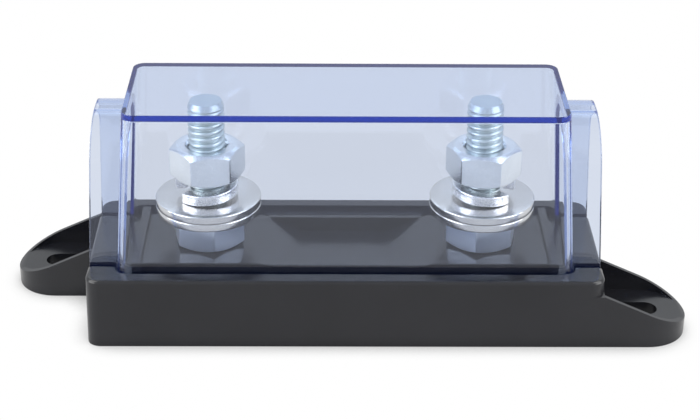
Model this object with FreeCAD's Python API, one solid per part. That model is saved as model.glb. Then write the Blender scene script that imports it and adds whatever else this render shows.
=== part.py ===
import FreeCAD, Part
import math
import os

# Bolt-down fuse holder: a dark moulded base with two diagonal mounting ears,
# two upright stud bolts with their nuts and washers, and a clear lift-off cover
# with a cable tunnel at each end. Millimetres, +Z up, X along the length.
# The origin is the middle of the underside.

V = FreeCAD.Vector
os.makedirs("parts", exist_ok=True)

# base body
BASE_LENGTH = 111.0
BASE_WIDTH = 40.0
BASE_HEIGHT = 16.0
BASE_CORNER_R = 3.0
BASE_EDGE_R = 0.8
RIM_SIDE = 3.4
RIM_END = 5.9
END_DRAFT = 0.3

# raised deck, side troughs and central valley
DECK_WIDTH = 22.8
END_CHANNEL = 3.6
TROUGH_DEPTH = 7.0
VALLEY_FLOOR_LENGTH = 20.6
VALLEY_TOP_LENGTH = 37.0
VALLEY_DEPTH = 4.1
FENCE_THICKNESS = 1.8
FENCE_RISE = 1.0
FENCE_OVERHANG = 2.0

# mounting ears
EAR_REACH = 19.35
EAR_WIDTH = 18.4
EAR_WALL = 1.0
EAR_FLOOR = 4.4
EAR_ROOT_HEIGHT = 12.4
EAR_TIP_HEIGHT = 3.6
EAR_SLOT_WIDTH = 5.3
EAR_SLOT_LENGTH = 8.8
EAR_SLOT_BACK = 1.35

# underside
BOTTOM_WALL = 3.6
BOTTOM_POCKET_DEPTH = 5.0
BOTTOM_RIB = 4.0
BOLT_BOSS_WALL = 2.6

# cover
SEAT_DEPTH = 2.0
COVER_GAP = 0.4
COVER_RISE = 35.9
COVER_WALL = 1.8
COVER_TOP = 1.7
COVER_CORNER_R = 2.6
COVER_TAPER_X = 2.65
COVER_TAPER_Y = 1.8
TUNNEL_FOOT_WIDTH = 25.9
TUNNEL_CROWN_MIN = 0.5
TUNNEL_LEAN = 0.08
TUNNEL_DROP = 3.75
TUNNEL_CORNER_R = 9.8
TUNNEL_END_TAPER = 1.6
TUNNEL_INSET = 0.35
SLOT_GAP = 0.3

# studs and their hardware
STUD_SPACING = 60.0
STUD_D = 7.9
STUD_TOP = 49.0
STUD_CHAMFER = 0.9
STUD_CHAMFER_RUN = 0.5
BOLT_HEAD_AF = 12.7
BOLT_HEAD_HEIGHT = 5.3
HEAD_POCKET_GAP = 0.3
HEAD_POCKET_DEPTH = 6.0
BORE_GAP = 0.35
NUT_AF = 14.4
NUT_HEIGHT = 7.5
NUT_CHAMFER_DEG = 30.0
FACE_SHARE = 0.91
WASHER_ROOM = 2.9
FLAT_WASHER_THICKNESS = 1.75
LOCK_WASHER_OD = 12.6
LOCK_WASHER_THICKNESS = 2.35
LOCK_WASHER_GAP_DEG = 12.0
TOP_NUT_TURN_DEG = 9.2
CLAMP_NUT_TURN_DEG = 41.0
LOCK_SPLIT_DEG = 200.0

# derived levels and half sizes
HALF_L = BASE_LENGTH / 2
HALF_W = BASE_WIDTH / 2
RIM_IN_X = HALF_L - RIM_END
RIM_IN_Y = HALF_W - RIM_SIDE
DECK_X = RIM_IN_X - END_CHANNEL
DECK_Y = DECK_WIDTH / 2
SEAT_Z = BASE_HEIGHT - SEAT_DEPTH
TROUGH_Z = BASE_HEIGHT - TROUGH_DEPTH
COVER_TOP_Z = BASE_HEIGHT + COVER_RISE
COVER_FOOT_X = RIM_IN_X - COVER_GAP
COVER_FOOT_Y = RIM_IN_Y - COVER_GAP
COVER_HEAD_X = COVER_FOOT_X - COVER_TAPER_X
COVER_HEAD_Y = COVER_FOOT_Y - COVER_TAPER_Y
TUNNEL_TOP_Z = COVER_TOP_Z - TUNNEL_DROP
STUD_X = STUD_SPACING / 2
FLAT_WASHER_OD = 2 * (COVER_FOOT_Y - COVER_WALL - WASHER_ROOM)
LOWER_WASHER_Z = BASE_HEIGHT + NUT_HEIGHT
UPPER_WASHER_Z = LOWER_WASHER_Z + FLAT_WASHER_THICKNESS
LOCK_Z = UPPER_WASHER_Z + FLAT_WASHER_THICKNESS
TOP_NUT_Z = LOCK_Z + 2 * LOCK_WASHER_THICKNESS
BORE_D = STUD_D + 2 * BORE_GAP
EAR_R = EAR_WIDTH / 2
EAR_X = HALF_L + EAR_REACH - EAR_R
EAR_Y = -(HALF_W - EAR_R)


def box(x0, x1, y0, y1, z0, z1):
    return Part.makeBox(x1 - x0, y1 - y0, z1 - z0, V(x0, y0, z0))


def cylinder(x, y, r, z0, z1):
    return Part.makeCylinder(r, z1 - z0, V(x, y, z0))


def prism(points, z0, z1):
    wire = Part.makePolygon([V(x, y, z0) for x, y in points + points[:1]])
    return Part.Face(wire).extrude(V(0, 0, z1 - z0))


def rounded_wire(hx, hy, r, z):
    d = r * math.sqrt(0.5)
    edges = []
    corners = [(hx - r, hy - r, 0), (r - hx, hy - r, 90), (r - hx, r - hy, 180), (hx - r, r - hy, 270)]
    for i, (cx, cy, a) in enumerate(corners):
        a0, a1, a2 = (math.radians(a + k) for k in (0, 45, 90))
        p0 = V(cx + r * math.cos(a0), cy + r * math.sin(a0), z)
        p1 = V(cx + r * math.cos(a1), cy + r * math.sin(a1), z)
        p2 = V(cx + r * math.cos(a2), cy + r * math.sin(a2), z)
        nx, ny, na = corners[(i + 1) % 4]
        nr = math.radians(na)
        q0 = V(nx + r * math.cos(nr), ny + r * math.sin(nr), z)
        edges.append(Part.Arc(p0, p1, p2).toShape())
        edges.append(Part.makeLine(p2, q0))
    return Part.Wire(edges)


def rounded_block(hx, hy, r, z0, z1):
    face = Part.Face(rounded_wire(hx, hy, r, z0))
    return face.extrude(V(0, 0, z1 - z0))


def tapered_block(hx0, hy0, hx1, hy1, r, z0, z1):
    return Part.makeLoft([rounded_wire(hx0, hy0, r, z0), rounded_wire(hx1, hy1, r, z1)], True, True)


def edges_at(shape, z):
    found = []
    for edge in shape.Edges:
        if all(abs(v.Point.z - z) < 1e-6 for v in edge.Vertexes):
            found.append(edge)
    return found


def turned(shape, x, y, degrees):
    copy = shape.copy()
    copy.rotate(V(x, y, 0), V(0, 0, 1), degrees)
    return copy


# Base: one moulding with rim, deck, troughs, valley, fences and ears.

def ear_slope():
    # all that lies above the wall's top, which falls in a straight line to the tip
    tip_x = EAR_X + EAR_R
    pts = [(HALF_L, EAR_ROOT_HEIGHT), (tip_x, EAR_TIP_HEIGHT), (tip_x + 2, EAR_TIP_HEIGHT)]
    pts += [(tip_x + 2, 2 * BASE_HEIGHT), (HALF_L, 2 * BASE_HEIGHT)]
    wire = Part.makePolygon([V(x, -BASE_WIDTH, z) for x, z in pts + pts[:1]])
    return Part.Face(wire).extrude(V(0, 2 * BASE_WIDTH, 0))


def ear_slot():
    r = EAR_SLOT_WIDTH / 2
    half = EAR_SLOT_LENGTH / 2 - r
    x = EAR_X - EAR_SLOT_BACK
    slot = box(x - half, x + half, EAR_Y - r, EAR_Y + r, -1, BASE_HEIGHT)
    slot = slot.fuse(cylinder(x - half, EAR_Y, r, -1, BASE_HEIGHT))
    return slot.fuse(cylinder(x + half, EAR_Y, r, -1, BASE_HEIGHT))


def ear():
    x0 = HALF_L - BASE_CORNER_R - 1
    outer = box(x0, EAR_X, EAR_Y - EAR_R, EAR_Y + EAR_R, 0, EAR_ROOT_HEIGHT)
    outer = outer.fuse(cylinder(EAR_X, EAR_Y, EAR_R, 0, EAR_ROOT_HEIGHT))
    inner_r = EAR_R - EAR_WALL
    inner = box(HALF_L, EAR_X, EAR_Y - inner_r, EAR_Y + inner_r, EAR_FLOOR, BASE_HEIGHT)
    inner = inner.fuse(cylinder(EAR_X, EAR_Y, inner_r, EAR_FLOOR, BASE_HEIGHT))
    return outer.cut(inner).cut(ear_slope()).cut(ear_slot())


def valley():
    z0 = BASE_HEIGHT - VALLEY_DEPTH
    top = BASE_HEIGHT + 1
    a = VALLEY_FLOOR_LENGTH / 2
    b = VALLEY_TOP_LENGTH / 2
    run = (b - a) / VALLEY_DEPTH
    c = b + run
    pts = [(-a, z0), (a, z0), (c, top), (-c, top)]
    wire = Part.makePolygon([V(x, -DECK_Y, z) for x, z in pts + pts[:1]])
    return Part.Face(wire).extrude(V(0, 2 * DECK_Y, 0))


def tray_cuts():
    well = rounded_block(RIM_IN_X, RIM_IN_Y, COVER_CORNER_R + COVER_GAP, SEAT_Z, BASE_HEIGHT + 1)
    well = well.cut(box(-DECK_X, DECK_X, -DECK_Y, DECK_Y, 0, BASE_HEIGHT + 2))
    cuts = [well, valley()]
    for s in (-1, 1):
        y0, y1 = sorted((s * DECK_Y, s * RIM_IN_Y))
        cuts.append(box(-DECK_X, DECK_X, y0, y1, TROUGH_Z, BASE_HEIGHT + 1))
        slot_in = TUNNEL_FOOT_WIDTH / 2 - COVER_WALL - SLOT_GAP
        slot_out = TUNNEL_FOOT_WIDTH / 2 + SEAT_DEPTH * TUNNEL_LEAN + SLOT_GAP
        for e in (-1, 1):
            y0, y1 = sorted((s * slot_in, s * slot_out))
            x0, x1 = sorted((e * (RIM_IN_X - 1), e * (HALF_L + 1)))
            cuts.append(box(x0, x1, y0, y1, SEAT_Z, BASE_HEIGHT + 1))
    return cuts


def fences():
    made = []
    for e in (-1, 1):
        x0, x1 = sorted((e * (DECK_X - FENCE_THICKNESS), e * DECK_X))
        half = DECK_Y + FENCE_OVERHANG
        made.append(box(x0, x1, -half, half, TROUGH_Z - 1, BASE_HEIGHT + FENCE_RISE))
    return made


def bottom_cuts():
    cuts = []
    hy = HALF_W - BOTTOM_WALL
    boss = BOLT_HEAD_AF / 2 + HEAD_POCKET_GAP + BOLT_BOSS_WALL
    inner_x = STUD_X - boss
    outer_x = STUD_X + boss
    end_x = HALF_L - BOTTOM_WALL
    for sy in (-1, 1):
        y0, y1 = sorted((sy * BOTTOM_RIB / 2, sy * hy))
        cuts.append(box(-inner_x, -BOTTOM_RIB / 2, y0, y1, -1, BOTTOM_POCKET_DEPTH))
        cuts.append(box(BOTTOM_RIB / 2, inner_x, y0, y1, -1, BOTTOM_POCKET_DEPTH))
        cuts.append(box(outer_x, end_x, y0, y1, -1, BOTTOM_POCKET_DEPTH))
        cuts.append(box(-end_x, -outer_x, y0, y1, -1, BOTTOM_POCKET_DEPTH))
    for s in (-1, 1):
        hexagon = hex_points(s * STUD_X, 0, BOLT_HEAD_AF + 2 * HEAD_POCKET_GAP, 30)
        cuts.append(prism(hexagon, -1, HEAD_POCKET_DEPTH))
        cuts.append(cylinder(s * STUD_X, 0, BORE_D / 2, 0, BASE_HEIGHT + 1))
    return cuts


def base():
    body = tapered_block(HALF_L + END_DRAFT, HALF_W, HALF_L, HALF_W, BASE_CORNER_R, 0, BASE_HEIGHT)
    body = body.makeFillet(BASE_EDGE_R, edges_at(body, BASE_HEIGHT))
    for angle in (0, 180):
        body = body.fuse(turned(ear(), 0, 0, angle))
    for cut in tray_cuts():
        body = body.cut(cut)
    for fence in fences():
        body = body.fuse(fence)
    for cut in bottom_cuts():
        body = body.cut(cut)
    return body.removeSplitter()


# Cover: one clear moulding, a tapered box with a tunnel at each end.

def tunnel_profile(foot, top, r, x):
    # half an arch: a leg leaning inwards, a round shoulder, a short flat crown
    n = math.hypot(1, TUNNEL_LEAN)
    half_at_top = foot - TUNNEL_LEAN * (top - BASE_HEIGHT)
    r = min(r, (half_at_top - TUNNEL_CROWN_MIN / 2) / (n - TUNNEL_LEAN))
    ty, tz = -TUNNEL_LEAN / n, 1 / n
    zc = top - r
    run = (zc - BASE_HEIGHT + r * TUNNEL_LEAN / n) / tz
    yc = foot + run * ty - r / n
    shoulder = V(x, yc + r * tz, zc - r * ty)
    a = math.pi / 4 + math.atan(TUNNEL_LEAN) / 2
    middle = V(x, yc + r * math.cos(a), zc + r * math.sin(a))
    crown = V(x, yc, top)
    drop = BASE_HEIGHT - SEAT_Z
    sole = V(x, foot + drop * TUNNEL_LEAN, SEAT_Z)
    right = [sole, shoulder, middle, crown]
    left = [V(x, -p.y, p.z) for p in right]
    edges = [Part.makeLine(right[0], right[1]), Part.Arc(right[1], right[2], right[3]).toShape()]
    edges += [Part.makeLine(right[3], left[3]), Part.Arc(left[3], left[2], left[1]).toShape()]
    edges += [Part.makeLine(left[1], left[0]), Part.makeLine(left[0], right[0])]
    return Part.Face(Part.Wire(edges))


def tunnel(foot, top, r, x0, x1):
    return tunnel_profile(foot, top, r, x0).extrude(V(x1 - x0, 0, 0))


def beyond_tunnel_end():
    run = TUNNEL_END_TAPER / (TUNNEL_TOP_Z - BASE_HEIGHT)
    x_foot = HALF_L - TUNNEL_INSET
    x_low = x_foot + run * (BASE_HEIGHT - SEAT_Z + 1)
    x_high = x_foot - run * (COVER_TOP_Z + 1 - BASE_HEIGHT)
    pts = [(x_low, SEAT_Z - 1), (HALF_L + 20, SEAT_Z - 1), (HALF_L + 20, COVER_TOP_Z + 1), (x_high, COVER_TOP_Z + 1)]
    wire = Part.makePolygon([V(x, -HALF_W, z) for x, z in pts + pts[:1]])
    return Part.Face(wire).extrude(V(0, 2 * HALF_W, 0))


def cover():
    foot = TUNNEL_FOOT_WIDTH / 2
    outer = tapered_block(COVER_FOOT_X, COVER_FOOT_Y, COVER_HEAD_X, COVER_HEAD_Y, COVER_CORNER_R, SEAT_Z, COVER_TOP_Z)
    outer = outer.fuse(tunnel(foot, TUNNEL_TOP_Z, TUNNEL_CORNER_R, -HALF_L - 5, HALF_L + 5))
    t = COVER_WALL
    z1 = COVER_TOP_Z - COVER_TOP
    share = (z1 - SEAT_Z) / (COVER_TOP_Z - SEAT_Z)
    x1 = COVER_FOOT_X - share * COVER_TAPER_X - t
    y1 = COVER_FOOT_Y - share * COVER_TAPER_Y - t
    room = tapered_block(COVER_FOOT_X - t, COVER_FOOT_Y - t, x1, y1, COVER_CORNER_R - t / 2, SEAT_Z, z1)
    inner_tunnel = tunnel(foot - t, TUNNEL_TOP_Z - t, TUNNEL_CORNER_R - t, -HALF_L - 6, HALF_L + 6)
    body = outer.cut(room).cut(inner_tunnel)
    ends = beyond_tunnel_end()
    return body.cut(ends).cut(turned(ends, 0, 0, 180)).removeSplitter()


# Hardware, the same set on each stud.

def hex_points(x, y, af, turn):
    r = af / math.sqrt(3)
    angles = [math.radians(turn + 60 * k) for k in range(6)]
    return [(x + r * math.cos(a), y + r * math.sin(a)) for a in angles]


def chamfer_body(x, r_flat, r_corner, z0, z1, top, bottom):
    drop = (r_corner - r_flat) * math.tan(math.radians(NUT_CHAMFER_DEG))
    pts = [(0, z0)]
    pts += [(r_flat, z0), (r_corner, z0 + drop)] if bottom else [(r_corner, z0)]
    pts += [(r_corner, z1 - drop), (r_flat, z1)] if top else [(r_corner, z1)]
    pts += [(0, z1)]
    wire = Part.makePolygon([V(x + r, 0, z) for r, z in pts + pts[:1]])
    return Part.Face(wire).revolve(V(x, 0, 0), V(0, 0, 1), 360)


def hexagon_body(x, af, turn, z0, z1, top, bottom):
    r_corner = af / math.sqrt(3)
    body = prism(hex_points(x, 0, af, turn), z0, z1)
    return body.common(chamfer_body(x, FACE_SHARE * af / 2, r_corner + 0.01, z0, z1, top, bottom))


def nut(x, turn, z0):
    z1 = z0 + NUT_HEIGHT
    body = hexagon_body(x, NUT_AF, turn, z0, z1, True, True)
    return body.cut(cylinder(x, 0, BORE_D / 2, z0 - 1, z1 + 1))


def stud_bolt(x):
    head_z = HEAD_POCKET_DEPTH - BOLT_HEAD_HEIGHT
    head = hexagon_body(x, BOLT_HEAD_AF, 30, head_z, HEAD_POCKET_DEPTH, False, True)
    shank = cylinder(x, 0, STUD_D / 2, HEAD_POCKET_DEPTH - 1, STUD_TOP - STUD_CHAMFER)
    tip_r = STUD_D / 2 - STUD_CHAMFER_RUN
    tip = Part.makeCone(STUD_D / 2, tip_r, STUD_CHAMFER, V(x, 0, STUD_TOP - STUD_CHAMFER))
    return head.fuse(shank).fuse(tip).removeSplitter()


def flat_washer(x, z0):
    z1 = z0 + FLAT_WASHER_THICKNESS
    ring = cylinder(x, 0, FLAT_WASHER_OD / 2, z0, z1)
    return ring.cut(cylinder(x, 0, BORE_D / 2, z0 - 1, z1 + 1))


def lock_washer(x, side):
    # one turn of rectangular wire, its two ends a wire thickness apart in height
    r0 = BORE_D / 2
    r1 = LOCK_WASHER_OD / 2
    span = 360 - LOCK_WASHER_GAP_DEG
    t = LOCK_WASHER_THICKNESS
    rise = t
    helix = Part.makeLongHelix(rise * 360 / span, rise, (r0 + r1) / 2, 0, False)
    corners = [V(r0, 0, 0), V(r1, 0, 0), V(r1, 0, t), V(r0, 0, t), V(r0, 0, 0)]
    section = Part.makePolygon(corners)
    sweep = Part.BRepOffsetAPI.MakePipeShell(helix)
    sweep.setBiNormalMode(V(0, 0, 1))
    sweep.add(section, False, False)
    sweep.build()
    sweep.makeSolid()
    body = Part.Solid(sweep.shape().Shells[0])
    body.rotate(V(0, 0, 0), V(0, 0, 1), LOCK_SPLIT_DEG + LOCK_WASHER_GAP_DEG / 2)
    if side > 0:
        body = body.mirror(V(0, 0, 0), V(1, 0, 0))
    body.translate(V(x, 0, LOCK_Z))
    return body


def write(shape, name):
    shape.exportStep("parts/" + name + ".step")


def main():
    write(base(), "base")
    write(cover(), "cover")
    for side, name in ((-1, "left"), (1, "right")):
        x = side * STUD_X
        write(stud_bolt(x), "stud_bolt_" + name)
        write(nut(x, -side * CLAMP_NUT_TURN_DEG, BASE_HEIGHT), "clamp_nut_" + name)
        write(flat_washer(x, LOWER_WASHER_Z), "lower_washer_" + name)
        write(flat_washer(x, UPPER_WASHER_Z), "upper_washer_" + name)
        write(lock_washer(x, side), "lock_washer_" + name)
        write(nut(x, -side * TOP_NUT_TURN_DEG, TOP_NUT_Z), "top_nut_" + name)


main()
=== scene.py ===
import math

import bmesh
import bpy
from mathutils import Matrix, Vector

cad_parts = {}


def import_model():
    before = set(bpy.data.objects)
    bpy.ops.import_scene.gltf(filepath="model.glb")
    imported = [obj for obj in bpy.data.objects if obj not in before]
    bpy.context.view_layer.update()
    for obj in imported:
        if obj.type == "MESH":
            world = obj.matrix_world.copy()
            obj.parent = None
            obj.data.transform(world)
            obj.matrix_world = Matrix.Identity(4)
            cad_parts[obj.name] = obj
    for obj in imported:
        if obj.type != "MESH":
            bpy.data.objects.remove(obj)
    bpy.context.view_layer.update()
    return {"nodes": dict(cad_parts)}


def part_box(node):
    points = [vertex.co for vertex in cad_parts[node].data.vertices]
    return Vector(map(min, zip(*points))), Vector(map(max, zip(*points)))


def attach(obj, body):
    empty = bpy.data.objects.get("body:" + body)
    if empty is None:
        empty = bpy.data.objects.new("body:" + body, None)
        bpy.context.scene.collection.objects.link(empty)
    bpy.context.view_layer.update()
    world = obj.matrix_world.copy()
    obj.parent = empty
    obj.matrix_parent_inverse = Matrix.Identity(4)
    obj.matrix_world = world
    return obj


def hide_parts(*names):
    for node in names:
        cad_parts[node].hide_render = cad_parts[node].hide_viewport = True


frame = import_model()
MM = 0.001


def z_range(node):
    # lowest and highest level of a solid, in millimetres
    low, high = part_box(node)
    return round(low.z / MM, 3), round(high.z / MM, 3)


# Sizes are in millimetres and angles in degrees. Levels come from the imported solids.
STUD_X = round(sum(corner.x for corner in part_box("clamp_nut_right")) / 2 / MM, 3)
LOWER_NUT_Z = z_range("clamp_nut_left")
LOWER_WASHER_Z = z_range("lower_washer_left")
UPPER_WASHER_Z = z_range("upper_washer_left")
LOCK_Z = z_range("lock_washer_left")
UPPER_NUT_Z = z_range("top_nut_left")
COVER_Z = z_range("cover")

# Stud: the thread runs from just above the head to the rounded tip. Seen through the cover's top, the
# photograph puts the tip 0.9 mm lower than the solid has it.
STUD_R = 3.95
STUD_TOP = 48.1
TIP_RISE = 1.3
TIP_RUN = 0.55
TIP_R = STUD_R - TIP_RUN
HEAD_LOW = z_range("stud_bolt_left")[0]
HEAD_HIGH = HEAD_LOW + 5.3
HEAD_ACROSS_FLATS = 12.7
HEAD_TURN = 30.0
THREAD_LOW = HEAD_HIGH + 0.6
PITCH = 1.411
THREAD_DEPTH = 0.62
THREAD_ROOT_R = STUD_R - THREAD_DEPTH
STEPS_PER_TURN = 60
# one pitch of the thread: each pair is a share of the pitch and a share of the depth
THREAD_PROFILE = (
    (0.0, 0.0), (0.13, 0.0), (0.19, 0.08), (0.28, 0.42), (0.38, 0.85), (0.45, 1.0),
    (0.55, 1.0), (0.62, 0.85), (0.72, 0.42), (0.81, 0.08), (0.87, 0.0),
)

# Nuts: the cone that cuts the corners leaves a circle of CHAMFER_SHARE times the size across flats.
NUT_ACROSS_FLATS = 14.4
LOWER_NUT_TURN = 41.0
UPPER_NUT_TURN = 9.2
CHAMFER_SHARE = 0.457
CHAMFER_SLOPE = math.tan(math.radians(30))
BORE_R = 4.3
BORE_CLEARANCE = 0.02
COUNTERSINK = 0.42
BORE_THREAD_DEPTH = 0.28
BORE_THREAD_INSET = 0.6
BORE_STEPS_PER_PITCH = 8
# angles within one sixth of a hexagon, close together near its two corners
SIXTH = (0, 0.7, 1.4, 2.2, 3.2, 4.6, 7, 11, 16, 22, 30, 38, 44, 49, 53, 55.4, 56.8, 57.8, 58.6, 59.3)
HEX_SHARPNESS = 70.0

FLAT_WASHER_R = 11.5
FLAT_WASHER_STEPS = 144

# Lock washer: one turn of wire that climbs by its own thickness. It is wider than the solid, and sits a
# little off the stud's axis, as in the photograph.
LOCK_THICKNESS = (LOCK_Z[1] - LOCK_Z[0]) / 2
LOCK_R = 6.85
LOCK_GAP = 21.0
LOCK_SPLIT = 211.0
LOCK_OFFSET = 0.25
LOCK_STEPS = 132

# Cover: half its outside at the foot, how much that draws in up to the top, the solid's wall and top,
# and the thinner ones of the photograph. A vertex within CORNER_ZONE of an inner corner moves both ways.
COVER_FOOT_HALF = (49.2, 16.2)
COVER_TAPER = (2.65, 1.8)
SOLID_WALL = 1.8
SOLID_TOP = 1.7
THIN_WALL = 1.0
THIN_TOP = 1.6
CORNER_ZONE = 1.75
COVER_ROUND = 0.2

# Base: two thin strips close the valley. Each is given by its front, its back and its upper edge.
DECK_Z = 16.0
VALLEY_Z = 11.9
VALLEY_HALF = (10.3, 18.5)
STRIPS = ((-11.4, -10.2, 15.45), (11.4, 12.6, 15.35))
STRIP_SINK = 0.3
BASE_ROUND = 0.28

SHARP_ANGLE = 30.0
STUD_SHARP_ANGLE = 38.0
WELD = 2e-6

# Floor: reach of the painted contact shadow and of the painted shade in reflections, in metres, and how much
# darker each painted shade makes the floor.
CONTACT_SHADOW = 0.008
MIRROR_NEAR = 0.045
MIRROR_FAR = 0.10
MIRROR_PAINTED_SHADE = 0.30
THROUGH_COVER_PAINTED_SHADE = 0.11

# Camera, in millimetres and degrees. The focal length is in pixels of the picture's width.
PICTURE_WIDTH = 700.0
FOCAL_LENGTH = 1686.163
SENSOR_WIDTH = 36.0
CAMERA_PLACE = (-3.3638, -330.7876, 193.2257)
CAMERA_DOWN = 27.2346
CAMERA_ASIDE = 0.7655
CAMERA_ROLL = 0.5177


# Shader nodes

def feed(tree, socket, value):
    if isinstance(value, bpy.types.NodeSocket):
        tree.links.new(value, socket)
    else:
        socket.default_value = value


def add(tree, kind, **inputs):
    # a shader node whose inputs are given by name, as a value or as another node's output
    node = tree.nodes.new("ShaderNode" + kind)
    for name, value in inputs.items():
        feed(tree, node.inputs[name.replace("_", " ")], value)
    return node


def calculate(tree, operation, *terms):
    node = add(tree, "Math")
    node.operation = operation
    for socket, term in zip(node.inputs, terms):
        feed(tree, socket, term)
    return node.outputs["Value"]


def mix_shaders(tree, share, first, second):
    node = add(tree, "MixShader")
    for socket, value in zip(node.inputs, (share, first, second)):
        feed(tree, socket, value)
    return node.outputs["Shader"]


def noise(tree, scale, detail, roughness):
    place = add(tree, "TexCoord").outputs["Object"]
    texture = add(tree, "TexNoise", Vector=place, Scale=scale, Detail=detail, Roughness=roughness)
    return texture.outputs["Fac"]


def ramp(tree, source, stops):
    node = add(tree, "ValToRGB", Fac=source)
    elements = node.color_ramp.elements
    for element, (place, colour) in zip(elements, (stops[0], stops[-1])):
        element.position = place
        element.color = colour
    for place, colour in stops[1:-1]:
        elements.new(place).color = colour
    return node.outputs["Color"]


def bump(tree, height, strength, distance):
    node = add(tree, "Bump", Height=height, Strength=strength, Distance=distance)
    return node.outputs["Normal"]


def grey(value):
    return value, value, value, 1.0


def new_material(name):
    material = bpy.data.materials.new(name)
    material.use_nodes = True
    material.node_tree.nodes.clear()
    return material, material.node_tree


# Materials

def base_plastic():
    # near-black satin moulding with a fine grain
    material, tree = new_material("base_plastic")
    clouds = noise(tree, scale=60.0, detail=3.0, roughness=0.5)
    patches = noise(tree, scale=420.0, detail=5.0, roughness=0.6)
    grain = noise(tree, scale=2600.0, detail=3.0, roughness=0.6)
    colour = ramp(tree, clouds, [(0.3, (0.0070, 0.0072, 0.0090, 1.0)), (0.7, (0.0090, 0.0092, 0.0115, 1.0))])
    satin = ramp(tree, patches, [(0.3, grey(0.19)), (0.7, grey(0.24))])
    relief = bump(tree, grain, strength=0.22, distance=0.00003)
    surface = add(tree, "BsdfPrincipled", Base_Color=colour, Roughness=satin, IOR=1.5, Normal=relief)
    add(tree, "OutputMaterial", Surface=surface.outputs["BSDF"])
    return material


def zinc(name, tint, roughness, cloud_scale):
    # bright zinc plate with faint clouds and a fine grain
    material, tree = new_material(name)
    clouds = noise(tree, scale=cloud_scale, detail=3.0, roughness=0.5)
    grain = noise(tree, scale=3500.0, detail=4.0, roughness=0.6)
    dull = tuple(0.94 * part for part in tint)
    colour = ramp(tree, clouds, [(0.3, dull + (1.0,)), (0.7, tint + (1.0,))])
    polish = ramp(tree, grain, [(0.3, grey(0.85 * roughness)), (0.7, grey(1.2 * roughness))])
    relief = bump(tree, grain, strength=0.25, distance=0.00002)
    surface = add(tree, "BsdfPrincipled", Base_Color=colour, Roughness=polish, Metallic=1.0, Normal=relief)
    add(tree, "OutputMaterial", Surface=surface.outputs["BSDF"])
    return material


def cover_plastic():
    # clear moulding that absorbs red, so that it looks blue where light runs along its walls; its inside also
    # has a painted blue glow
    material, tree = new_material("cover_plastic")
    haze = noise(tree, scale=90.0, detail=3.0, roughness=0.5)
    polish = ramp(tree, haze, [(0.35, grey(0.012)), (0.75, grey(0.03))])
    surface = add(tree, "BsdfPrincipled", Base_Color=grey(1.0), Roughness=polish, IOR=1.56)
    feed(tree, surface.inputs["Transmission Weight"], 1.0)
    shadow = add(tree, "BsdfTransparent", Color=(0.80, 0.87, 0.99, 1.0))
    is_shadow = add(tree, "LightPath").outputs["Is Shadow Ray"]
    shown = mix_shaders(tree, is_shadow, surface.outputs["BSDF"], shadow.outputs["BSDF"])
    absorption = add(tree, "VolumeAbsorption", Color=(0.05, 0.3125, 0.769, 1.0), Density=160.0)
    # painted glow: the cover's inside gives off blue light of its own, though it is no lamp
    painted_blue_glow = add(tree, "Emission", Color=(0.08, 0.19, 1.0, 1.0), Strength=6.0)
    inside = add(tree, "AddShader")
    feed(tree, inside.inputs[0], absorption.outputs["Volume"])
    feed(tree, inside.inputs[1], painted_blue_glow.outputs["Emission"])
    add(tree, "OutputMaterial", Surface=shown, Volume=inside.outputs["Shader"])
    return material


# Mesh building

def link_object(name, mesh):
    obj = bpy.data.objects.new(name, mesh)
    bpy.context.scene.collection.objects.link(obj)
    return obj


def finish_metal(name, bm, material, body, node, sharp_angle=SHARP_ANGLE):
    # a smooth-shaded metal piece that stands for one solid
    bmesh.ops.recalc_face_normals(bm, faces=bm.faces)
    mesh = bpy.data.meshes.new(name)
    bm.normal_update()
    bm.to_mesh(mesh)
    bm.free()
    obj = link_object(name, mesh)
    mesh.materials.append(material)
    for face in mesh.polygons:
        face.use_smooth = True
    mesh.set_sharp_from_angle(angle=math.radians(sharp_angle))
    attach(obj, body)
    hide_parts(node)


def polar(x, radius, angle, z):
    # a point round the upright axis at x, in metres
    return ((x + radius * math.cos(angle)) * MM, radius * math.sin(angle) * MM, z * MM)


def bridge(bm, first, second, closed):
    # faces between two rows of vertices
    count = len(first)
    for j in range(count if closed else count - 1):
        k = (j + 1) % count
        bm.faces.new((first[j], second[j], second[k], first[k]))


def rounded_path(corners, radii, steps):
    # a closed outline of radius and height whose corners with a radius are short curves
    path = []
    for i, radius in enumerate(radii):
        corner = Vector(corners[i])
        if radius == 0:
            path.append(tuple(corner))
            continue
        back = Vector(corners[i - 1]) - corner
        ahead = Vector(corners[(i + 1) % len(corners)]) - corner
        limit = 0.45 * min(back.length, ahead.length)
        reach = min(radius / math.tan(back.angle(ahead) / 2), limit)
        for k in range(steps + 1):
            t = k / steps
            point = corner + back.normalized() * reach * (1 - t) ** 2 + ahead.normalized() * reach * t ** 2
            path.append(tuple(point))
    return path


def ring_mesh(bm, x, angles, path_at):
    # a ring round the upright axis, where path_at(angle) is its closed section
    rows = [[bm.verts.new(polar(x, r, a, z)) for r, z in path_at(a)] for a in angles]
    for i, row in enumerate(rows):
        bridge(bm, row, rows[(i + 1) % len(rows)], closed=True)


def hex_angles(turn):
    return [math.radians(turn + 60 * k + part) for k in range(6) for part in SIXTH]


def hex_radius(angle, across_flats, turn):
    # distance from the axis to the side of a hexagon with slightly rounded corners
    total = 0.0
    for k in range(6):
        facing = math.cos(angle - math.radians(turn + 30 + 60 * k))
        if facing > 0:
            total += facing ** HEX_SHARPNESS
    return (across_flats / 2) / total ** (1 / HEX_SHARPNESS)


# Nuts, studs and washers

def bore_thread(angle, z):
    # share of the thread's depth in a nut's bore: a right-hand thread with flats and nearly straight flanks
    place = (z / PITCH - angle / (2 * math.pi)) % 1.0
    share = min(1.0, max(0.0, (abs(place - 0.5) * 2 - 0.14) / 0.72))
    eased = share * share * (3 - 2 * share)
    return 0.35 * eased + 0.65 * share


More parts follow.
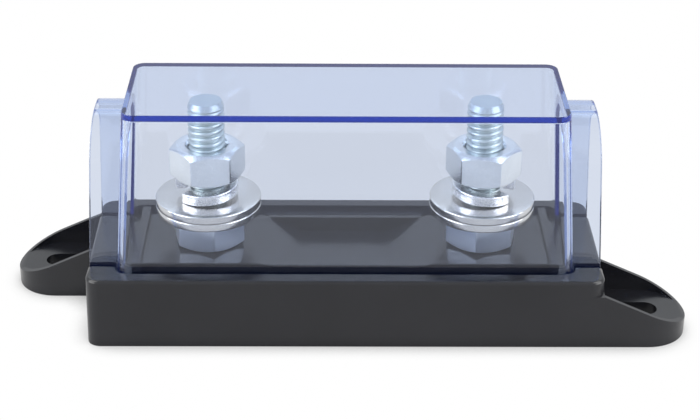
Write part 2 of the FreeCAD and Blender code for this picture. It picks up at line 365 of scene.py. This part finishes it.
def nut(name, x, turn, levels, material, body, node):
    low, high = levels
    chamfer_r = CHAMFER_SHARE * NUT_ACROSS_FLATS
    bore_r = BORE_R + BORE_CLEARANCE
    mouth_r = bore_r + COUNTERSINK
    steps = int((high - low - 2 * BORE_THREAD_INSET) / PITCH * BORE_STEPS_PER_PITCH)

    def section(angle):
        side_r = hex_radius(angle, NUT_ACROSS_FLATS, turn)
        drop = (side_r - chamfer_r) * CHAMFER_SLOPE
        corners = [
            (mouth_r, low), (chamfer_r, low), (side_r, low + drop),
            (side_r, high - drop), (chamfer_r, high), (mouth_r, high),
        ]
        path = rounded_path(corners, (0, 0.12, 0.18, 0.18, 0.12, 0.1), 3)
        top = high - BORE_THREAD_INSET
        bottom = low + BORE_THREAD_INSET
        for i in range(steps + 1):
            z = top + (bottom - top) * i / steps
            fade = min(1.0, i / 5, (steps - i) / 5)
            path.append((bore_r - fade * BORE_THREAD_DEPTH * bore_thread(angle, z), z))
        return path

    bm = bmesh.new()
    ring_mesh(bm, x, hex_angles(turn), section)
    finish_metal(name, bm, material, body, node)


def thread_mesh(bm, x):
    # a helical grid with one row for each step of a turn, cut off level at both ends
    turns = int((STUD_TOP - THREAD_LOW) / PITCH) + 3
    steps = turns * STEPS_PER_TURN

    def point(i, share, depth):
        z = THREAD_LOW + PITCH * (i / STEPS_PER_TURN - 1.0 + share)
        cut_in = min(1.0, max(0.0, (STUD_TOP - z - 0.8 * TIP_RISE) / PITCH))
        radius = STUD_R - THREAD_DEPTH * depth * cut_in * cut_in * (3 - 2 * cut_in)
        if z >= STUD_TOP:
            z, radius = STUD_TOP, TIP_R
        elif z <= THREAD_LOW:
            z, radius = THREAD_LOW, THREAD_ROOT_R
        else:
            tip = TIP_R + (STUD_TOP - z) * TIP_RUN / TIP_RISE
            run_out = THREAD_ROOT_R + (z - THREAD_LOW) * 0.9
            radius = min(radius, tip, run_out)
        angle = 2 * math.pi * (i % STEPS_PER_TURN) / STEPS_PER_TURN
        return polar(x, radius, angle, z)

    grid = [[bm.verts.new(point(i, *stop)) for stop in THREAD_PROFILE] for i in range(steps + STEPS_PER_TURN)]
    for i in range(steps - 1):
        bridge(bm, grid[i], grid[i + 1], closed=False)
        above = i + STEPS_PER_TURN
        bm.faces.new((grid[i][-1], grid[i + 1][-1], grid[above + 1][0], grid[above][0]))
    bmesh.ops.remove_doubles(bm, verts=bm.verts, dist=WELD)
    bmesh.ops.delete(bm, geom=[v for v in bm.verts if not v.link_faces], context="VERTS")


def close_end(bm, x, rings):
    # rings of radius and level, each joined to the next, and the last one closed by a fan
    angles = [2 * math.pi * k / STEPS_PER_TURN for k in range(STEPS_PER_TURN)]
    rows = [[bm.verts.new(polar(x, r, a, z)) for a in angles] for r, z in rings]
    for first, second in zip(rows, rows[1:]):
        bridge(bm, first, second, closed=True)
    middle = bm.verts.new((x * MM, 0, rings[-1][1] * MM))
    last = rows[-1]
    for k in range(STEPS_PER_TURN):
        bm.faces.new((last[k], last[(k + 1) % STEPS_PER_TURN], middle))


def bolt_head(bm, x):
    # the hexagon head, chamfered below and with a small round above
    chamfer_r = CHAMFER_SHARE * HEAD_ACROSS_FLATS
    rows = []
    for angle in hex_angles(HEAD_TURN):
        side_r = hex_radius(angle, HEAD_ACROSS_FLATS, HEAD_TURN)
        drop = (side_r - chamfer_r) * CHAMFER_SLOPE
        section = [
            (chamfer_r, HEAD_LOW), (side_r, HEAD_LOW + drop),
            (side_r, HEAD_HIGH - 0.1), (side_r - 0.1, HEAD_HIGH),
        ]
        rows.append([bm.verts.new(polar(x, r, angle, z)) for r, z in section])
    bottom = bm.verts.new((x * MM, 0, HEAD_LOW * MM))
    top = bm.verts.new((x * MM, 0, HEAD_HIGH * MM))
    for i, row in enumerate(rows):
        ahead = rows[(i + 1) % len(rows)]
        bm.faces.new((bottom, ahead[0], row[0]))
        bm.faces.new((top, row[-1], ahead[-1]))
        bridge(bm, row, ahead, closed=False)


def stud(name, x, material, node):
    bm = bmesh.new()
    thread_mesh(bm, x)
    close_end(bm, x, [(TIP_R, STUD_TOP), (TIP_R - 0.12, STUD_TOP), (TIP_R - 0.6, STUD_TOP)])
    close_end(bm, x, [(THREAD_ROOT_R, THREAD_LOW), (THREAD_ROOT_R, HEAD_HIGH - 0.5)])
    bmesh.ops.remove_doubles(bm, verts=bm.verts, dist=WELD)
    bolt_head(bm, x)
    finish_metal(name, bm, material, "base", node, STUD_SHARP_ANGLE)


def flat_washer(name, x, levels, material, body, node):
    low, high = levels
    corners = [(BORE_R, low), (FLAT_WASHER_R, low), (FLAT_WASHER_R, high), (BORE_R, high)]
    section = rounded_path(corners, (0.12, 0.3, 0.3, 0.3), 4)
    angles = [2 * math.pi * k / FLAT_WASHER_STEPS for k in range(FLAT_WASHER_STEPS)]
    bm = bmesh.new()
    ring_mesh(bm, x, angles, lambda angle: section)
    finish_metal(name, bm, material, body, node)


def lock_washer(name, x, side, material, body, node):
    # the right-hand one is a mirror image, as it is in the photograph
    bore_r = BORE_R + BORE_CLEARANCE
    corners = [(bore_r, 0), (LOCK_R, 0), (LOCK_R, LOCK_THICKNESS), (bore_r, LOCK_THICKNESS)]
    section = rounded_path(corners, (0.25, 0.35, 0.35, 0.25), 4)
    middle = x + LOCK_OFFSET * side
    bm = bmesh.new()
    rows = []
    for i in range(LOCK_STEPS + 1):
        share = i / LOCK_STEPS
        angle = math.radians(LOCK_SPLIT + LOCK_GAP / 2 + (360.0 - LOCK_GAP) * share)
        if side > 0:
            angle = math.pi - angle
        level = LOCK_Z[0] + LOCK_THICKNESS * share
        rows.append([bm.verts.new(polar(middle, r, angle, level + h)) for r, h in section])
    for first, second in zip(rows, rows[1:]):
        bridge(bm, first, second, closed=True)
    bm.faces.new(rows[0][::-1])
    bm.faces.new(rows[-1])
    finish_metal(name, bm, material, body, node)


# Mouldings

def thin_walls(bm):
    # the cover's inner faces move outwards, which leaves the walls and the top as thin as in the photograph
    for vertex in bm.verts:
        x, y, z = (part / MM for part in vertex.co)
        share = (z - COVER_Z[0]) / (COVER_Z[1] - COVER_Z[0])
        inner_x = COVER_FOOT_HALF[0] - share * COVER_TAPER[0] - SOLID_WALL
        inner_y = COVER_FOOT_HALF[1] - share * COVER_TAPER[1] - SOLID_WALL
        ceiling = COVER_Z[1] - SOLID_TOP
        if abs(x) > inner_x + 0.05 or abs(y) > inner_y + 0.05 or z > ceiling + 0.05:
            continue
        if abs(x) > inner_x - CORNER_ZONE:
            vertex.co.x += math.copysign(SOLID_WALL - THIN_WALL, x) * MM
        if abs(y) > inner_y - CORNER_ZONE:
            vertex.co.y += math.copysign(SOLID_WALL - THIN_WALL, y) * MM
        if z > ceiling - 0.05:
            vertex.co.z += (SOLID_TOP - THIN_TOP) * MM


def deck_strips(bm):
    # each strip reaches a little into the valley's sloping ends and its floor
    slope = (VALLEY_HALF[1] - VALLEY_HALF[0]) / (DECK_Z - VALLEY_Z)
    for front_y, back_y, high in STRIPS:
        low = VALLEY_Z - STRIP_SINK
        low_half, high_half = (VALLEY_HALF[0] + slope * (z - VALLEY_Z) + STRIP_SINK for z in (low, high))
        outline = [(-low_half, low), (low_half, low), (high_half, high), (-high_half, high)]
        front = [bm.verts.new((x * MM, front_y * MM, z * MM)) for x, z in outline]
        back = [bm.verts.new((x * MM, back_y * MM, z * MM)) for x, z in outline]
        bm.faces.new(front)
        bm.faces.new(back[::-1])
        bridge(bm, back, front, closed=True)


def keep_foot_sharp(mesh):
    # every sharp edge gets the small round, apart from those of the cover's foot
    bm = bmesh.new()
    bm.from_mesh(mesh)
    weight = bm.edges.layers.float.new("bevel_weight_edge")
    foot = (COVER_Z[0] + 0.3) * MM
    for edge in bm.edges:
        if len(edge.link_faces) == 2 and edge.calc_face_angle() > math.radians(SHARP_ANGLE):
            in_foot = max(v.co.z for v in edge.verts) < foot
            edge[weight] = 0.0 if in_foot else 1.0
            edge.smooth = not in_foot
    bm.to_mesh(mesh)
    bm.free()


def moulded(name, node, body, material, width, edit, sharp_foot=False):
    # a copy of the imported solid, changed by edit, with its sharp edges rounded a little
    mesh = frame["nodes"][node].data.copy()
    mesh.name = name
    obj = link_object(name, mesh)
    mesh.materials.clear()
    mesh.materials.append(material)
    bm = bmesh.new()
    bm.from_mesh(mesh)
    bmesh.ops.remove_doubles(bm, verts=bm.verts, dist=1e-7)
    bmesh.ops.dissolve_limit(bm, angle_limit=math.radians(0.4), verts=bm.verts, edges=bm.edges)
    edit(bm)
    bmesh.ops.recalc_face_normals(bm, faces=bm.faces)
    bm.to_mesh(mesh)
    bm.free()
    for face in mesh.polygons:
        face.use_smooth = True
    if sharp_foot:
        keep_foot_sharp(mesh)
    if "custom_normal" in mesh.attributes:
        mesh.attributes.remove(mesh.attributes["custom_normal"])
    bevel = obj.modifiers.new("edges", "BEVEL")
    bevel.width = width * MM
    bevel.segments = 2
    bevel.limit_method = "WEIGHT" if sharp_foot else "ANGLE"
    bevel.angle_limit = math.radians(SHARP_ANGLE)
    bevel.miter_outer = "MITER_ARC"
    bevel.use_clamp_overlap = True
    bevel.harden_normals = False
    shading = obj.modifiers.new("normals", "WEIGHTED_NORMAL")
    shading.keep_sharp = True
    shading.weight = 60
    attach(obj, body)
    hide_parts(node)


# The object

def make_object():
    plastic = base_plastic()
    clear = cover_plastic()
    bolt_zinc = zinc("zinc_bolt", tint=(0.60, 0.66, 0.64), roughness=0.36, cloud_scale=183.0)
    nut_zinc = zinc("zinc_nut", tint=(0.79, 0.83, 0.86), roughness=0.24, cloud_scale=191.0)
    washer_zinc = zinc("zinc_washer", tint=(0.74, 0.72, 0.685), roughness=0.17, cloud_scale=203.0)
    lock_zinc = zinc("zinc_lock", tint=(0.84, 0.83, 0.82), roughness=0.27, cloud_scale=217.0)
    # a darker, bluer copy of the nut zinc for the lower nuts: painted shade and painted blue light from the
    # cover
    lower_nut_painted_zinc = zinc("zinc_lower_nut_painted_shade", tint=(0.70, 0.74, 0.80), roughness=0.34, cloud_scale=231.0)

    moulded("base_moulding", "base", "base", plastic, BASE_ROUND, deck_strips)
    moulded("cover_moulding", "cover", "cover", clear, COVER_ROUND, thin_walls, True)
    for side, tag in ((-1, "_left"), (1, "_right")):
        x = STUD_X * side
        low_turn = -side * LOWER_NUT_TURN
        high_turn = -side * UPPER_NUT_TURN
        rising = "washers" + tag
        stud("threaded_stud" + tag, x, bolt_zinc, "stud_bolt" + tag)
        nut("lower_nut" + tag, x, low_turn, LOWER_NUT_Z, lower_nut_painted_zinc, "base", "clamp_nut" + tag)
        flat_washer("under_washer" + tag, x, LOWER_WASHER_Z, washer_zinc, "base", "lower_washer" + tag)
        flat_washer("over_washer" + tag, x, UPPER_WASHER_Z, washer_zinc, rising, "upper_washer" + tag)
        lock_washer("spring_washer" + tag, x, side, lock_zinc, rising, "lock_washer" + tag)
        nut("upper_nut" + tag, x, high_turn, UPPER_NUT_Z, nut_zinc, "nut" + tag, "top_nut" + tag)


# Floor, light and camera

def floor_white():
    # White to the camera, with a soft painted contact shadow from ambient occlusion. Painted shade makes it a
    # little darker through the cover, and in the metal's reflections painted shade makes it darkest near the
    # object and white further out at its two sides.
    material, tree = new_material("floor_white")
    path = add(tree, "LightPath").outputs
    # painted contact shadow: ambient occlusion darkens the floor's glow near the object
    occlusion = add(tree, "AmbientOcclusion", Distance=CONTACT_SHADOW)
    occlusion.samples = 8
    shade = ramp(tree, occlusion.outputs["AO"], [(0.0, grey(0.0)), (0.45, grey(0.55)), (0.8, grey(1.0))])
    seen_through = calculate(tree, "MULTIPLY_ADD", path["Is Transmission Ray"], -THROUGH_COVER_PAINTED_SHADE, 1.0)
    mirrored = calculate(tree, "GREATER_THAN", path["Is Glossy Ray"], path["Is Transmission Ray"])
    place = add(tree, "SeparateXYZ", Vector=add(tree, "TexCoord").outputs["Object"])
    outward = calculate(tree, "ABSOLUTE", place.outputs["X"])
    mirror_shade_ramp = add(tree, "MapRange", Value=outward, From_Min=MIRROR_NEAR, From_Max=MIRROR_FAR)
    feed(tree, mirror_shade_ramp.inputs["To Min"], MIRROR_PAINTED_SHADE)
    feed(tree, mirror_shade_ramp.inputs["To Max"], 0.0)
    # painted shade in the metal's reflections, strongest near the object
    painted_mirror_shade = calculate(tree, "MULTIPLY", mirrored, mirror_shade_ramp.outputs["Result"])
    strength = calculate(tree, "SUBTRACT", seen_through, painted_mirror_shade)
    glow = add(tree, "Emission", Color=shade, Strength=strength)
    diffuse = add(tree, "BsdfDiffuse", Color=grey(0.82))
    direct = calculate(tree, "MAXIMUM", path["Is Camera Ray"], path["Is Glossy Ray"])
    shown = calculate(tree, "MAXIMUM", direct, path["Is Transmission Ray"])
    surface = mix_shaders(tree, shown, diffuse.outputs["BSDF"], glow.outputs["Emission"])
    add(tree, "OutputMaterial", Surface=surface)
    return material


def floor():
    bm = bmesh.new()
    bmesh.ops.create_grid(bm, x_segments=2, y_segments=2, size=3.0)
    mesh = bpy.data.meshes.new("floor")
    bm.to_mesh(mesh)
    bm.free()
    mesh.materials.append(floor_white())
    link_object("floor", mesh)


def world():
    # an even pale room, a little darker overhead
    studio = bpy.data.worlds.new("studio")
    bpy.context.scene.world = studio
    studio.use_nodes = True
    tree = studio.node_tree
    tree.nodes.clear()
    direction = add(tree, "SeparateXYZ", Vector=add(tree, "TexCoord").outputs["Generated"])
    stops = [
        (0.0, (0.86, 0.88, 0.91, 1.0)),
        (0.25, (0.86, 0.88, 0.90, 1.0)),
        (0.6, (0.86, 0.88, 0.90, 1.0)),
        (1.0, (0.73, 0.75, 0.775, 1.0)),
    ]
    background = add(tree, "Background", Color=ramp(tree, direction.outputs["Z"], stops), Strength=1.0)
    add(tree, "OutputWorld", Surface=background.outputs["Background"])


def area_light(name, place, target, size, power, colour=(1.0, 1.0, 1.0)):
    light = bpy.data.lights.new(name, "AREA")
    light.shape = "RECTANGLE"
    light.size, light.size_y = size
    light.energy = power
    light.color = colour
    obj = link_object(name, light)
    obj.location = place
    obj.rotation_euler = (Vector(target) - Vector(place)).to_track_quat("-Z", "Y").to_euler()


def lights():
    # Places and sizes are in metres. The two lamps above stand apart, so a nut's front chamfer stays grey.
    middle = (0.0, 0.0, 0.03)
    foot = (0.0, 0.0, 0.02)
    area_light("top_left_light", (-0.50, -0.12, 0.60), foot, (0.55, 0.6), 3.6)
    area_light("top_right_light", (0.50, -0.12, 0.60), foot, (0.55, 0.6), 3.6)
    area_light("left_light", (-0.62, -0.3, 0.14), middle, (0.6, 0.4), 3.5)
    area_light("right_light", (0.62, -0.3, 0.14), middle, (0.6, 0.4), 3.0)
    area_light("rear_light", (0.0, 0.55, 0.52), foot, (0.9, 0.25), 0.7, (0.86, 0.95, 1.0))


def camera():
    data = bpy.data.cameras.new("camera")
    data.sensor_width = SENSOR_WIDTH
    data.lens = FOCAL_LENGTH * SENSOR_WIDTH / PICTURE_WIDTH
    data.clip_start = 0.01
    data.clip_end = 20.0
    down, aside, roll = (math.radians(v) for v in (CAMERA_DOWN, CAMERA_ASIDE, CAMERA_ROLL))
    ahead = Vector((math.sin(aside) * math.cos(down), math.cos(aside) * math.cos(down), -math.sin(down)))
    level = Vector((math.cos(aside), -math.sin(aside), 0.0))
    upward = level.cross(ahead)
    right = math.cos(roll) * level + math.sin(roll) * upward
    top = math.cos(roll) * upward - math.sin(roll) * level
    pose = Matrix((right, top, -ahead)).transposed().to_4x4()
    pose.translation = Vector(CAMERA_PLACE) * MM
    obj = link_object("camera", data)
    obj.matrix_world = pose
    bpy.context.scene.camera = obj


make_object()
floor()
world()
lights()
camera()
scene = bpy.context.scene
scene.view_settings.view_transform = "Standard"
scene.cycles.max_bounces = 32
scene.cycles.glossy_bounces = 24
scene.cycles.transmission_bounces = 24
